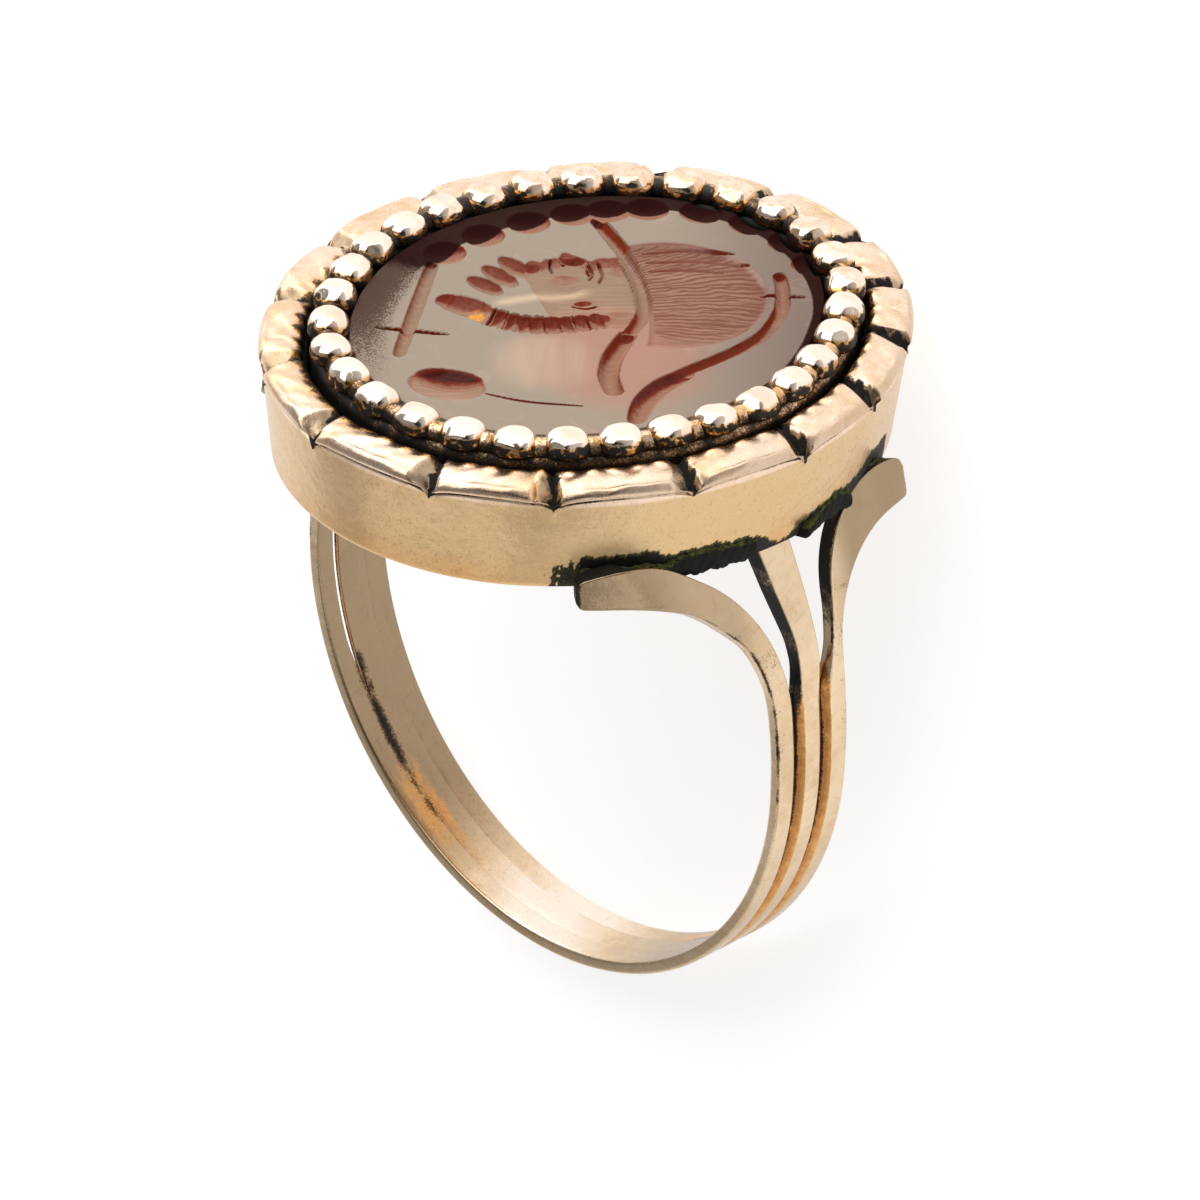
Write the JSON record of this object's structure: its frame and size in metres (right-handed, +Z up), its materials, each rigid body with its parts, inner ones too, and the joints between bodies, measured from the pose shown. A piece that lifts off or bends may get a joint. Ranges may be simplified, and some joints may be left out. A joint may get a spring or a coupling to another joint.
{
  "type": "intaglio ring",
  "caption": "Finger ring in the ancient style: an oval box with a tiled rim and a beaded collar holds an engraved stone, on a hoop of soldered strands with split shoulders.",
  "frame": {"origin": "centre of the bounding box in X and Y, on the surface that the ring rests on", "axes": "the ring lies on its side: +Z is up, +X runs from the bottom of the hoop to the head, and +Y is across the hoop's width; the finger axis leans 25.5 degrees from Z, towards -X at its upper end"},
  "size_m": [0.0224, 0.0186, 0.018],
  "materials": {
    "shank_gold": "worn rose gold, brushed on the wall and softly polished on the strands, with dark tarnish in the grooves and at the solder",
    "collar_gold": "paler worn rose gold, bright on the tops of the beads and dark between them",
    "carnelian": "polished translucent brownish pink chalcedony with smooth dark red cuts"
  },
  "bodies": {
    "root": {"shank_and_box": "shank_gold", "beaded_collar": "collar_gold", "intaglio_stone": "carnelian"}
  },
  "joints": []
}
